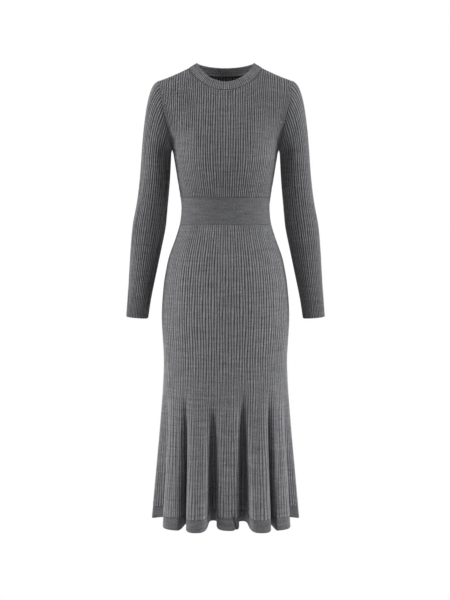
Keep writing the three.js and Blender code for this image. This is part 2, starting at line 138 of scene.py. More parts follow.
def curve(a, b, c, d, t):
    t = np.asarray(t)[..., None]
    s = 1 - t
    return a * s**3 + b * 3 * s * s * t + c * 3 * s * t * t + d * t**3


def along(table, column, at, level_ends=False):
    """A column of a table at places between its rows, on a smooth curve through them."""
    keys, values = table[:, 0], table[:, column]
    row = np.arange(len(keys))
    before = np.maximum(row - 1, 0)
    after = np.minimum(row + 1, len(keys) - 1)
    slope = (values[after] - values[before]) / (keys[after] - keys[before])
    if level_ends:
        slope[0] = slope[-1] = 0
    i = np.clip(np.searchsorted(keys, at) - 1, 0, len(keys) - 2)
    span = keys[i + 1] - keys[i]
    t = (at - keys[i]) / span
    bend = t * t * (3 - 2 * t)
    level = mix(values[i], values[i + 1], bend)
    return level + span * t * (1 - t) * ((1 - t) * slope[i] - t * slope[i + 1])


def arc_angle(width, depth, share):
    """The angle on a half ellipse, from its middle, that leaves a share of its length behind."""
    steps = 40
    width, depth, share = np.broadcast_arrays(width, depth, share)
    middle = (np.arange(steps) + 0.5) / steps * np.pi / 2
    pieces = np.hypot(width[..., None] * np.cos(middle), depth[..., None] * np.sin(middle))
    lengths = np.concatenate([np.zeros(share.shape + (1,)), np.cumsum(pieces, -1)], -1)
    wanted = np.abs(share) * lengths[..., -1]
    i = np.minimum((lengths[..., 1:] < wanted[..., None]).sum(-1), steps - 1)[..., None]
    low = np.take_along_axis(lengths, i, -1)[..., 0]
    high = np.take_along_axis(lengths, i + 1, -1)[..., 0]
    return np.sign(share) * (i[..., 0] + (wanted - low) / (high - low)) / steps * np.pi / 2


def body_round(face, across, z):
    """Inside the cloth of the body. across runs from -1 to 1 over a panel in equal lengths."""
    width = along(BODY, 1, z) - CLOTH
    depth = along(BODY, 2 if face == FRONT else 3, z) - CLOTH
    angle = arc_angle(width, depth, across)
    y = np.maximum(depth * np.cos(angle), SEAM_GAP / 2)
    return place(width * np.sin(angle), face * y, z)


def neck_point(edge, angle):
    """On an edge of the neckband. Angle 0 is the centre front and pi the centre back."""
    in_front = np.cos(angle) > 0
    depth = np.where(in_front, -edge["front"], edge["back"])
    middle_z = np.where(in_front, edge["front_z"], edge["back_z"])
    middle = np.abs(np.cos(angle))
    z = mix(edge["side_z"], middle_z, middle**NECK_CURVE)
    return place(edge["side"] * np.sin(angle), depth * middle**NECK_ROUND, z)


def neck_rise(angle):
    return unit(neck_point(NECK_EDGE, angle) - neck_point(NECK_SEAM, angle))


def neck_out(angle):
    run = neck_point(NECK_SEAM, angle + STEP) - neck_point(NECK_SEAM, angle - STEP)
    return unit(np.cross(run, neck_rise(angle)))


def neck_angle(face, across):
    """The neckband's angle where a rib of the bodice ends."""
    share = np.clip(across / NECK_SHARE, -1, 1)
    angle = mix(share * np.pi / 2, np.arcsin(share), STRAIGHT_RIBS)
    return angle if face == FRONT else np.pi - angle


def top_edge(face, across):
    """The neckline, then the shoulder seam."""
    angle = neck_angle(face, across)
    neck = neck_point(NECK_SEAM, angle) - neck_rise(angle) * SEAM_GAP / 2
    neck[..., 1] = face * np.maximum(face * neck[..., 1], SEAM_GAP / 2)
    rest = (np.abs(across) - NECK_SHARE) / (1 - NECK_SHARE)
    x = np.sign(across) * mix(NECK_SEAM["side"], TIP_X, rest)
    z = mix(NECK_SEAM["side_z"], TIP_Z, rest) - SHOULDER_SAG * np.sin(np.pi * np.clip(rest, 0, 1))
    shoulder = place(x, face * SEAM_GAP / 2, z)
    return np.where((np.abs(across) <= NECK_SHARE)[..., None], neck, shoulder)


def armhole_point(face, up):
    out = along(ARMHOLE, 3 if face == FRONT else 4, up)
    x = along(ARMHOLE, 1, up, level_ends=True)
    return place(x, face * np.maximum(out, SEAM_GAP / 2), along(ARMHOLE, 2, up, level_ends=True))


def armhole_out(face, up):
    point = armhole_point(face, up)
    level = (np.asarray(up) <= 0) | (np.asarray(up) >= 1)
    y = np.where(level, 0, point[..., 1] / ARMHOLE_HALF_DEPTH**2)
    return unit(place(0, y, (point[..., 2] - ARMHOLE_MIDDLE) / ARMHOLE_HALF_HEIGHT**2))


def chest_point(face, across, up):
    """Above the underarm's level, before the armhole is let in."""
    low = body_round(face, across, UNDERARM)
    top = top_edge(face, across)
    around = sum(top_edge(face, np.clip(across + d, -1, 1)) for d in CORNER_SPREAD) / len(CORNER_SPREAD)
    top = mix(around, top, smooth(CORNER_START, 1, up)[..., None])
    to_side = np.abs(across) ** SIDE_ROUND
    reach = np.abs(top[..., 0]) / TIP_X
    width = top[..., 0] - low[..., 0]
    start = low + place(
        CHEST_EASE * width,
        face * ARMHOLE_REACH * to_side,
        mix(CHEST_RISE, ARMHOLE_RISE, to_side),
    )
    neck_depth = NECK_SEAM["front" if face == FRONT else "back"] + NECK_SLOPE
    neck_z = NECK_SEAM["front_z" if face == FRONT else "back_z"] - NECK_RISE
    end = place(
        top[..., 0] - CHEST_EASE * width,
        face * mix(neck_depth, SHOULDER_DEPTH, reach * reach),
        mix(neck_z, TIP_Z - SHOULDER_RISE, smooth(0, 1, reach)),
    )
    return curve(low, start, end, top, up)


def bodice_point(face, across, rise):
    """rise runs from -1 at the waist, over 0 at the underarm, to 1 at the neck and shoulder."""
    side = np.sign(across)
    to_edge = np.maximum(0, 1 - (1 - np.abs(across)) / EDGE_SHARE) ** 2
    z = mix(UNDERARM, WAIST_TOP + SEAM_GAP / 2, -np.minimum(rise, 0))
    below = body_round(face, across, z)
    pull = armhole_point(face, 0)[0] - body_round(face, 1, UNDERARM)[0]
    below[..., 0] += side * pull * to_edge * np.maximum(0, 1 + PULL_FADE * rise)
    up = np.maximum(rise, 0)
    above = chest_point(face, across, up)
    seam = armhole_point(face, up) * place(side, 1, 1)
    share = mix(to_edge, np.abs(across) ** ARMHOLE_SPREAD, smooth(0, ARMHOLE_START, up))
    above = above + (seam - chest_point(face, side, up)) * share[..., None]
    above[..., 0] -= np.where(np.abs(across) == 1, side * SEAM_GAP / 2, 0)
    return np.where((rise <= 0)[..., None], below, above)


def outwards(points, closed=False):
    """The way out of a sheet of points, whose rows run up and columns run round."""
    if closed:
        points = np.concatenate([points[:, -2:-1], points, points[:, 1:2]], axis=1)
    out = unit(np.cross(np.gradient(points, axis=1), np.gradient(points, axis=0)))
    return out[:, 1:-1] if closed else out


def eased(out, edge_out, distance, reach=9):
    """Near an edge the cloth turns to face the way that its seam does."""
    share = np.exp(-((distance / reach) ** 2))
    return unit(mix(out, edge_out, share[..., None]))


# How ribs wander aside: how much of a rib, how fast from rib to rib and up the rows, from where
WANDER = [(0.09, 1.9, 23, 0), (0.07, 0.53, -41, 1)]
RIB_ROUND = 2.2
GROOVE_SOFT = 0.9
SEAM_SHADE = 0.9


def rib_relief(ribs, rows):
    """How far up a rib the cloth is: 0 in the groove between two, 1 on a crest. Ribs wander a little."""
    wander = sum(
        size * np.sin(pace * ribs + rows / length + start) for size, pace, length, start in WANDER
    )
    return 1 - np.abs(2 * ((ribs + wander) % 1) - 1) ** RIB_ROUND


def rib_shade(relief, seam):
    """How deep in shade the cloth is, between two ribs or beside a seam."""
    return np.maximum((1 - relief) ** GROOVE_SOFT, SEAM_SHADE * seam)


def seam_line(distance, depth, reach=1.6):
    """How far the cloth is drawn in beside a seam."""
    return depth * np.exp(-((distance / reach) ** 2))


def creases(marks, aside, up):
    """Soft troughs listed one by one: where, the half length and half width, the slope in degrees, how
    deep.
    """
    total = 0
    for at, at_up, length, width, slope, depth in marks:
        turn = np.radians(slope)
        run = (aside - at) * np.cos(turn) + (up - at_up) * np.sin(turn)
        over = (up - at_up) * np.cos(turn) - (aside - at) * np.sin(turn)
        total = total - depth * np.exp(-((run / length) ** 2) - (over / width) ** 2)
    return total


def turned_in(points, out, height, ribs, rows, painted_shade, closed=False):
    """Each edge of the cloth turns in behind its seam. A tube has no side edges."""
    ways = ((1, 1), (0, 0) if closed else (1, 1))

    def edged(values):
        return np.pad(np.broadcast_to(values, height.shape), ways, mode="edge")

    edge = np.pad(np.zeros(height.shape), ways, constant_values=1)
    out = np.pad(out, (*ways, (0, 0)), mode="edge")
    raised = np.where(edge > 0, -TURN_IN, edged(height))
    points = np.pad(points, (*ways, (0, 0)), mode="edge") + out * raised[..., None]
    return points, edged(ribs), edged(rows) + edge * TURN_IN, edged(painted_shade)


def rows_between(low, high, count, fine=(0.8, 1.8, 3.2, 5)):
    """Heights from low to high, closer together beside the two ends."""
    even = np.linspace(low, high, count + 1)[1:-1]
    near = [low + f for f in fine] + [high - f for f in fine]
    inner = [z for z in even if low + fine[-1] + 1 < z < high - fine[-1] - 1]
    return np.sort(np.array([low, high, *near, *inner]))[:, None]


def knit_cloth(name, points, ribs, rows, painted_shade, thickness=YARN, closed=False):
    """One layer of knit through a grid of points. Its UV map counts ribs and stitches."""
    row_count, column_count = points.shape[:2]
    bm = bmesh.new()
    bmesh.ops.create_grid(bm, x_segments=column_count - 1, y_segments=row_count - 1, size=0.5)
    mesh = bpy.data.meshes.new(name)
    bm.to_mesh(mesh)
    flat = np.empty(len(mesh.vertices) * 3)
    mesh.vertices.foreach_get("co", flat)
    flat = flat.reshape(-1, 3) + 0.5
    column = np.rint(flat[:, 0] * (column_count - 1)).astype(int)
    row = np.rint(flat[:, 1] * (row_count - 1)).astype(int)
    mesh.vertices.foreach_set("co", (points[row, column] * MM).ravel())
    corner = np.empty(len(mesh.loops), int)
    mesh.loops.foreach_get("vertex_index", corner)
    knit = mesh.uv_layers.new(name="knit")
    counts = np.stack([
        np.broadcast_to(ribs, (row_count, column_count))[row, column][corner],
        np.broadcast_to(rows / STITCH, (row_count, column_count))[row, column][corner],
    ], axis=-1)
    knit.data.foreach_set("uv", counts.ravel())
    # Each point carries how deep the painted shade in its colour is, between two ribs or beside a seam
    dark = mesh.attributes.new("painted_shade", "FLOAT", "POINT")
    dark.data.foreach_set("value", np.broadcast_to(painted_shade, (row_count, column_count))[row, column])
    if closed:
        bm.clear()
        bm.from_mesh(mesh)
        bmesh.ops.remove_doubles(bm, verts=bm.verts, dist=1e-6)
        bm.to_mesh(mesh)
    bm.free()
    mesh.shade_smooth()
    cloth = bpy.data.objects.new(name, mesh)
    bpy.context.scene.collection.objects.link(cloth)
    wall = cloth.modifiers.new("cloth thickness", "SOLIDIFY")
    wall.thickness = thickness * MM
    wall.offset = -1
    return cloth


STITCH_SLOPE = 1.3
STREAKS = (0.11, 0.5, 1)  # paler and darker yarn, over a few ribs
PAINTED_SHADE_STREAKS = (0.9, 0.05, 1)  # the painted shade between two ribs deeper and lighter, along a rib
DARK_FIBRE = 0.42
PALE_FIBRE = 1.75
FIBRE_SHARE = 0.45
FLECK_SHARE = 0.55
DARKEST = 0.03


def knit_yarn(name, shade, rib_shadow, stitch_height):
    """Grey marl wool: pale and dark fibres mixed, small V stitches up each rib, a soft fuzz, with shade
    painted into its colour between the ribs and beside the seams, and light and shade painted over the
    stitches.
    """
    finish = bpy.data.materials.new(name)
    finish.use_nodes = True
    tree = finish.node_tree
    tree.nodes.clear()

    def node(kind, **settings):
        made = tree.nodes.new(kind)
        for key, value in settings.items():
            setattr(made, key, value)
        return made

    def join(out, socket):
        tree.links.new(out, socket)

    def maths(operation, *values):
        made = node("ShaderNodeMath", operation=operation)
        for socket, value in zip(made.inputs, values):
            if isinstance(value, (int, float)):
                socket.default_value = value
            else:
                join(value, socket)
        return made.outputs[0]

    def noise(vector, scale, detail, roughness):
        made = node("ShaderNodeTexNoise")
        join(vector, made.inputs["Vector"])
        made.inputs["Scale"].default_value = scale
        made.inputs["Detail"].default_value = detail
        made.inputs["Roughness"].default_value = roughness
        return made.outputs["Fac"]

    def stretched(vector, scale):
        made = node("ShaderNodeVectorMath", operation="MULTIPLY")
        join(vector, made.inputs[0])
        made.inputs[1].default_value = scale
        return made.outputs[0]

    inside = node("ShaderNodeTexCoord").outputs["Object"]
    knit = node("ShaderNodeUVMap", uv_map="knit").outputs["UV"]
    parts = node("ShaderNodeSeparateXYZ")
    join(knit, parts.inputs[0])
    painted_shade = node("ShaderNodeAttribute", attribute_name="painted_shade").outputs["Fac"]

    # The two legs of each stitch slope up from the rib's middle
    off_middle = maths("ABSOLUTE", maths("SUBTRACT", maths("FRACT", parts.outputs["X"]), 0.5))
    climb = maths("ADD", parts.outputs["Y"], maths("MULTIPLY", off_middle, STITCH_SLOPE))
    wave = maths("SINE", maths("MULTIPLY", climb, 2 * np.pi))
    stitch = maths("MULTIPLY_ADD", wave, 0.5, 0.5)

    fibre = noise(inside, scale=1500, detail=4, roughness=0.7)
    fleck = noise(inside, scale=430, detail=3, roughness=0.65)
    streak = noise(stretched(knit, STREAKS), scale=1, detail=4, roughness=0.7)
    along_rib = noise(stretched(knit, PAINTED_SHADE_STREAKS), scale=1, detail=2, roughness=0.5)
    marl = node("ShaderNodeValToRGB")
    ramp = marl.color_ramp
    ramp.elements[0].position = 0.33
    ramp.elements[0].color = (*(DARK_FIBRE * c for c in shade), 1)
    ramp.elements[1].position = 0.68
    ramp.elements[1].color = (*(PALE_FIBRE * c for c in shade), 1)
    middle = ramp.elements.new(0.5)
    middle.color = (*shade, 1)
    mixed = maths("MULTIPLY_ADD", fibre, FIBRE_SHARE, maths("MULTIPLY", fleck, FLECK_SHARE))
    join(mixed, marl.inputs[0])

    # Painted shade: the colour darkens between the ribs and beside the seams, by each point's painted
    # shade
    depth = maths("MULTIPLY_ADD", along_rib, 0.5, rib_shadow - 0.25)
    shadow = maths("MAXIMUM", maths("SUBTRACT", 1, maths("MULTIPLY", painted_shade, depth)), DARKEST)
    # Painted light and shade over the stitches: the colour rises and falls with each stitch's V
    painted_stitch_shading = maths("MULTIPLY_ADD", stitch, 0.22, 0.89)
    patchy = maths("MULTIPLY_ADD", streak, 1.1, 0.45)
    tone = maths("MULTIPLY", maths("MULTIPLY", shadow, painted_stitch_shading), patchy)
    colour = node("ShaderNodeVectorMath", operation="SCALE")
    join(marl.outputs[0], colour.inputs[0])
    join(tone, colour.inputs["Scale"])

    height = maths("MULTIPLY_ADD", stitch, stitch_height, maths("MULTIPLY", fibre, 0.5))
    bump = node("ShaderNodeBump")
    bump.inputs["Strength"].default_value = 0.8
    bump.inputs["Distance"].default_value = 0.5 * MM
    join(height, bump.inputs["Height"])

    wool = node("ShaderNodeBsdfPrincipled")
    join(colour.outputs[0], wool.inputs["Base Color"])
    join(bump.outputs[0], wool.inputs["Normal"])
    wool.inputs["Roughness"].default_value = 0.95
    wool.inputs["Specular IOR Level"].default_value = 0.15
    wool.inputs["Sheen Weight"].default_value = 0.22
    wool.inputs["Sheen Roughness"].default_value = 0.45
    wool.inputs["Sheen Tint"].default_value = (0.85, 0.85, 0.88, 1)
    join(wool.outputs[0], node("ShaderNodeOutputMaterial").inputs["Surface"])
    return finish


def panel_across(face, columns):
    """A panel's columns as places across it, from -1 to 1; they run round the body one way."""
    return -face * (2 * np.arange(columns + 1) / columns - 1)[None, :]


def as_garment(cloth, finish, slot, node, **cut):
    """A finished piece of the garment rides on its body and stands for its solid."""
    cloth.data.materials.append(finish)
    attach(cloth, "root")
    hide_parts(node)


rib_wool = knit_yarn("rib_wool", (0.195, 0.195, 0.204), rib_shadow=0.95, stitch_height=0.5)
RIB_COLUMNS = 6  # columns of points to a rib
BODICE_COLUMNS = BODICE_RIBS * RIB_COLUMNS
BODICE_ROWS = 64
BODICE_HALF_WIDTH = 170
BODICE_RISE = 160
EDGE_ROWS = np.array([0.006, 0.014, 0.03])
EVEN_ROWS_TO = 0.95
SIDE_TURN = 0.08
GROOVE_SPREAD = (0.55, 0.8)  # towards the waist the shade between two ribs is broader
GROOVE_CHANGE = (-120, 100)
SEAM_DRAW = 0.8
FINE_SEAM = 0.12  # at the bodice's sides and the armholes a seam hardly shows
LINKED_SEAM = 0.25
SHOULDER_SEAM = 0.3
NECKLINE_SEAM = 0.5

# Drag lines from the underarms, and soft folds at the sides above the waist
BODICE_CREASES = [
    (-112, -176, 34, 7, 34, 1.6),
    (-104, -204, 30, 6, 22, 1.3),
    (115, -180, 32, 7, -31, 1.6),
    (106, -209, 33, 6, -18, 1.2),
    (-96, -296, 24, 6, 12, 1.1),
    (-88, -318, 28, 5, 4, 1.3),
    (93, -303, 25, 6, -10, 1.2),
    (86, -322, 27, 5, -3, 1.1),
]

for side, face, flat, area in [
    ("front", FRONT, (0.4, 0.345), 0.108),
    ("back", BACK, (0.4, 0.345), 0.108),
]:
    across = panel_across(face, BODICE_COLUMNS)
    even = np.linspace(-1, 1, BODICE_ROWS + 1)[1:-1]
    inner = even[np.abs(even) < EVEN_ROWS_TO]
    rise = np.sort(np.concatenate([[-1, 1], -1 + EDGE_ROWS, 1 - EDGE_ROWS, inner, [0]]))
    rise = np.unique(np.round(rise, 6))[:, None]
    points = bodice_point(face, across, rise)
    out = outwards(points)
    angle = neck_angle(face, across)
    shoulder_drop = NECK_SEAM["side_z"] - TIP_Z
    shoulder_out = unit(place(np.sign(across) * shoulder_drop, 0, TIP_X - NECK_SEAM["side"]))
    top_out = np.where((np.abs(across) <= NECK_SHARE)[..., None], neck_out(angle), shoulder_out)
    from_side = (1 - np.abs(across)) * BODICE_HALF_WIDTH
    from_top = (1 - rise) * BODICE_RISE
    from_waist = (1 + rise) * (UNDERARM - WAIST_TOP)
    level_out = unit(out * np.array([1, 1, 0]))
    out = eased(out, level_out, from_waist)
    at_underarm = np.exp(-((rise / SIDE_TURN) ** 2))[..., None]
    side_out = np.where(
        (rise >= 0)[..., None],
        armhole_out(face, np.maximum(rise, 0)),
        unit(mix(place(np.sign(across), 0, 0), place(0, 0, -1), at_underarm)),
    )
    out = eased(out, side_out, from_side * np.ones_like(rise))
    out = eased(out, top_out, from_top * np.ones_like(across))
    ribs = np.arange(BODICE_COLUMNS + 1)[None, :] / BODICE_COLUMNS * BODICE_RIBS
    length = np.where(rise < 0, rise * (UNDERARM - WAIST_TOP), rise * BODICE_RISE)
    relief = rib_relief(ribs, length)
    top_depth = np.where(np.abs(across) <= NECK_SHARE, NECKLINE_SEAM, SHOULDER_SEAM)
    seam = np.maximum(seam_line(from_side, FINE_SEAM), seam_line(from_top, top_depth))
    seam = np.maximum(seam, seam_line(from_waist, LINKED_SEAM))
    height = WALL + RIB * relief * (1 - seam) - SEAM_DRAW * seam
    height = height + creases(BODICE_CREASES, points[..., 0], points[..., 2])
    # Painted shade between the ribs and beside the seams, broader towards the waist
    painted_shade = rib_shade(relief, seam) ** mix(*GROOVE_SPREAD, smooth(*GROOVE_CHANGE, length))
    cloth = knit_cloth(f"{side}_bodice", *turned_in(points, out, height, ribs, length, painted_shade))
    as_garment(
        cloth, rib_wool, "rib_knit", f"bodice_{side}",
        flat=flat, area=area, held="hung", rests_on=["neckband"],
    )

# Left and right sleeve
# Each is one tube of the same rib knit, set into its armhole. The ribs run along it and follow
# the armhole's curve over the cap. The cuff is a plain edge with no band.
SLEEVE_RIBS = 45
BICEP = -225
CUFF = -636
CUFF_TILT = 0.08
CAP_OUT = 1
CAP_OUT_ON_TOP = 22
CAP_DOWN = 6
CAP_DOWN_IN_FRONT = 24
CAP_DOWN_ON_TOP = 4
ARM_OUT_ON_TOP = -7.5
ARM_UP = 8
ARM_UP_ON_TOP = 97
CAP_SPREAD = 1.3

# Heights, and there the inner and the outer side, the half depth, and how far the arm is ahead
SLEEVE = np.array([
    (-636, 196.2, 252.3, 29, 16),
    (-588, 189.2, 249.1, 33, 9),
    (-527, 177, 245.3, 37, 2),
    (-465, 164.2, 242, 41, -3),
    (-404, 152, 236.6, 44, -5),
    (-343, 145.9, 225.4, 44, -4),
    (-282, 140.8, 217.8, 45, -2),
    (-225, 137.8, 213.6, 47, 0),
])


def arm_point(turn, z):
    """turn runs from 0 at the underarm over the front, 0.25, and the outer side to the back."""
    inner = along(SLEEVE, 1, z) + CLOTH
    outer = along(SLEEVE, 2, z) - CLOTH
    depth = along(SLEEVE, 3, z) - CLOTH
    angle = 2 * np.pi * turn
    sideways = -(outer - inner) / 2 * np.cos(angle)
    tilt = CUFF_TILT * ((BICEP - z) / (BICEP - CUFF))
    y = -along(SLEEVE, 4, z) - depth * np.sin(angle)
    return place((outer + inner) / 2 + sideways, y, z + tilt * sideways)


def armhole_seam(turn):
    up = np.where(turn <= 0.5, 2 * turn, 2 * (1 - turn))
    one = np.ones_like(turn)
    front = bodice_point(FRONT, one, up)
    back = bodice_point(BACK, one, up)
    in_front = (turn <= 0.5)[..., None]
    out = np.where(in_front, armhole_out(FRONT, up), armhole_out(BACK, up))
    return np.where(in_front, front, back) + np.array([SEAM_GAP, 0, 0]), out


def cap_point(turn, down):
    seam = armhole_seam(turn)[0]
    bicep = arm_point(turn, BICEP)
    on_top = (1 - np.cos(2 * np.pi * turn)) / 2
    ahead = np.abs(np.sin(2 * np.pi * turn))
    start = seam + place(
        CAP_OUT + CAP_OUT_ON_TOP * on_top**CAP_SPREAD,
        0,
        -CAP_DOWN - CAP_DOWN_IN_FRONT * ahead - CAP_DOWN_ON_TOP * on_top,
    )
    end = bicep + place(ARM_OUT_ON_TOP * on_top, 0, ARM_UP + ARM_UP_ON_TOP * on_top**CAP_SPREAD)
    return curve(seam, start, end, bicep, down)


# Soft folds inside the elbow, one on the upper arm and one on the forearm, given by the way round
# the arm from its outer side, and by height
ARM_ROUND = 250
ELBOW_CREASES = [
    (-88, -338, 30, 8, 14, 1.7),
    (-80, -364, 34, 8, 6, 2.1),
    (-86, -392, 30, 8, -9, 1.8),
    (-60, -420, 26, 9, -16, 1.2),
    (84, -350, 30, 8, -10, 1.7),
    (78, -380, 32, 8, 3, 1.9),
    (-40, -250, 28, 11, 24, 1.2),
    (30, -560, 30, 10, -12, 1),
]

SLEEVE_COLUMNS = SLEEVE_RIBS * RIB_COLUMNS
CAP_ROWS = 22
ARM_ROWS = 64
CAP_FROM_SEAM = 60  # taken the same all round the cap
CAP_STITCHED = 100  # what the cap measures along its stitches
FAR_FROM_CUFF = 400
CUFF_REACH = 1.2
CUFF_DRAW = 0.4
# The painted shade between the sleeve's ribs spreads wider, which darkens the sleeves
SLEEVE_SHADE_SPREAD = 0.5
turn = (np.arange(SLEEVE_COLUMNS + 1) / SLEEVE_COLUMNS)[None, :]
cap_down = np.concatenate([np.linspace(1, 0, CAP_ROWS + 1)[1:-1], [0.03, 0.012, 0]])
cap_down = np.sort(cap_down)[::-1][:, None]
arm_z = rows_between(CUFF, BICEP, ARM_ROWS, fine=(0.8, 1.8, 3.2))
points = np.concatenate([arm_point(turn, arm_z), cap_point(turn, cap_down)])
out = outwards(points, closed=True)
from_seam = np.concatenate([np.full_like(arm_z, CAP_FROM_SEAM), cap_down * CAP_FROM_SEAM])
out = eased(out, armhole_seam(turn)[1], from_seam * np.ones_like(turn))
ribs = turn * SLEEVE_RIBS * np.ones_like(from_seam)
length = np.concatenate([arm_z - BICEP, (1 - cap_down) * CAP_STITCHED])
relief = rib_relief(ribs, length)
from_cuff = np.concatenate([arm_z - CUFF, np.full_like(cap_down, FAR_FROM_CUFF)])
seam = seam_line(from_seam, FINE_SEAM)
edge = seam_line(from_cuff, 1, CUFF_REACH)
height = WALL + RIB * relief * (1 - seam) * (1 - edge) - SEAM_DRAW * seam - CUFF_DRAW * edge
around = (turn - 0.5) * ARM_ROUND * np.ones_like(from_seam)
height = height + creases(ELBOW_CREASES, around, points[..., 2])
# Painted shade between the ribs and beside the armhole seam
painted_shade = rib_shade(relief, seam) ** SLEEVE_SHADE_SPREAD
sleeve_cloth = turned_in(points, out, height, ribs, length, painted_shade, closed=True)
for side, mirrored, node in [("left", 1, "sleeve_left"), ("right", -1, "sleeve_right")]:
    shape, *knit = sleeve_cloth
    shape = shape * np.array([mirrored, 1, 1])
    if mirrored < 0:
        shape = shape[:, ::-1]
    cloth = knit_cloth(f"{side}_sleeve", shape, *knit, closed=True)
    as_garment(
        cloth, rib_wool, "rib_knit", node,
        flat=(0.265, 0.605), area=0.122, held="hung", rests_on=["front_bodice", "back_bodice"],
    )

# Neckband
# A strip of the rib knit about 24 mm wide, folded double over its top edge and linked to the
# neckline all round. Its ribs stand square to the edge.
NECK_RIBS = 108
NECK_COLUMNS = NECK_RIBS * RIB_COLUMNS
BAND_WIDTH = 24
FOLD_RADIUS = 1.5
NECK_RELIEF = 0.7  # its ribs stand less high
NECKBAND_SEAM = 0.7
BAND_DRAW = 0.9
BAND_YARN = YARN * 0.8
UNDER_EDGE = [(0, -1.5), (-3, -1.8)]
INNER_SHADE = 0.1  # the band's inner layer gets a tenth of the painted shade between its ribs, so it looks smoother and lighter
angle = 2 * np.pi * (np.arange(NECK_COLUMNS + 1) / NECK_COLUMNS)[None, :]
roll = np.linspace(0, np.pi, 7)[1:-1]
path = (
    [(0, 2 * FOLD_RADIUS), (0.8, 2 * FOLD_RADIUS), (1.8, 2 * FOLD_RADIUS)]
    + [(w, 2 * FOLD_RADIUS) for w in np.linspace(4, BAND_WIDTH - FOLD_RADIUS, 6)]
    + [(BAND_WIDTH + FOLD_RADIUS * (np.sin(a) - 1), FOLD_RADIUS * (1 + np.cos(a))) for a in roll]
    + [(w, 0) for w in np.linspace(BAND_WIDTH - FOLD_RADIUS, 2, 6)]
    + UNDER_EDGE
)
up_share = np.array([w for w, _ in path])[:, None, None] / BAND_WIDTH
lift = np.array([h for _, h in path])[:, None]
out = neck_out(angle)
low = neck_point(NECK_SEAM, angle) + neck_rise(angle) * SEAM_GAP / 2
points = mix(low, neck_point(NECK_EDGE, angle), up_share)
ribs = angle / (2 * np.pi) * NECK_RIBS
relief = rib_relief(ribs, 0)
facing = np.clip(lift / FOLD_RADIUS - 1, -1, 1)
seam = seam_line(up_share[..., 0] * BAND_WIDTH, NECKBAND_SEAM) * (facing > 0)
height = lift - RIB * (1 - relief) * facing * NECK_RELIEF - BAND_DRAW * seam
length = np.cumsum(np.concatenate([[0], np.hypot(*np.diff(np.array(path), axis=0).T)]))[:, None]
# Painted shade between the ribs and beside the seam, little of it on the inner layer
painted_shade = rib_shade(relief, seam) * mix(INNER_SHADE, 1, facing > 0)
cloth = knit_cloth(
    "neck_band", points + out * height[..., None], ribs, length, painted_shade, BAND_YARN, closed=True,
)
as_garment(
    cloth, rib_wool, "neckband_knit", "neckband",
    flat=(0.46, 0.05), held="folded", rests_on=["front_bodice", "back_bodice"],
)

# Front and back waistband
# A smooth band about 68 mm deep in a finer knit of the same wool, between the bodice and the
# skirt. Faint ribs run up it.
BAND = 2.6
FAINT_RIB = 0.3
FAINT_SHADE = 0.4
plain_wool = knit_yarn("plain_wool", (0.1, 0.1, 0.105), rib_shadow=0.3, stitch_height=0.35)
BAND_COLUMNS = BODICE_RIBS * 4
BAND_ROWS = 12

# Faint wrinkles across the band at its sides
WAIST_CREASES = [
    (-84, -344, 30, 3.5, 6, 0.7),
    (-90, -360, 26, 3.5, -5, 0.8),
    (-82, -378, 34, 4, -8, 0.7),
    (86, -348, 28, 3.5, -4, 0.8),
    (80, -367, 34, 4, 7, 0.7),
    (88, -385, 26, 3.5, 3, 0.7),
]
for side, face in [("front", FRONT), ("back", BACK)]:
    across = panel_across(face, BAND_COLUMNS)
    z = rows_between(WAIST_BOTTOM + SEAM_GAP / 2, WAIST_TOP - SEAM_GAP / 2, BAND_ROWS)
    points = body_round(face, across, z)
    out = unit(outwards(points) * np.array([1, 1, 0]))
    from_side = (1 - np.abs(across)) * BODICE_HALF_WIDTH
    out = eased(out, place(np.sign(across), 0, 0), from_side * np.ones_like(z), reach=4)
    ribs = np.arange(BAND_COLUMNS + 1)[None, :] / BAND_COLUMNS * BODICE_RIBS
    relief = rib_relief(ribs, z)
    seam = np.maximum(seam_line(z - WAIST_BOTTOM, LINKED_SEAM), seam_line(WAIST_TOP - z, LINKED_SEAM))
    seam = np.maximum(seam, seam_line(from_side, LINKED_SEAM))
    height = BAND - FAINT_RIB * (1 - relief) - BAND_DRAW * seam
    height = height + creases(WAIST_CREASES, points[..., 0], points[..., 2])
    # Painted shade between the faint ribs and beside the seams
    painted_shade = np.maximum(FAINT_SHADE * (1 - relief), SEAM_SHADE * seam)
    cloth = knit_cloth(f"{side}_waistband", *turned_in(points, out, height, ribs, z, painted_shade))
    as_garment(
        cloth, plain_wool, "plain_knit", f"waistband_{side}",
        flat=(0.318, 0.068), held="hung", rests_on=[f"{side}_bodice"],
    )

# Front and back skirt
# The rib knit again, close over the hips. From above the knee it flares into soft folds, and its
# ribs are a little closer there. Each panel is linked to the waistband and at the sides.
FLARE_TOP = -815
HEM_SEAM = -1121
SKIRT_RIBS = 60  # a panel's, and more of them below the hips
MORE_RIBS = 1.25
MORE_TOP = -740
MORE_BOTTOM = -880
FOLD_TURN = 0.45
FOLD_START = 0.9
FOLD_HALF = 28
CREST_RIBS = 0.32  # how closely the ribs run over a crest, since the cloth widens in the valleys

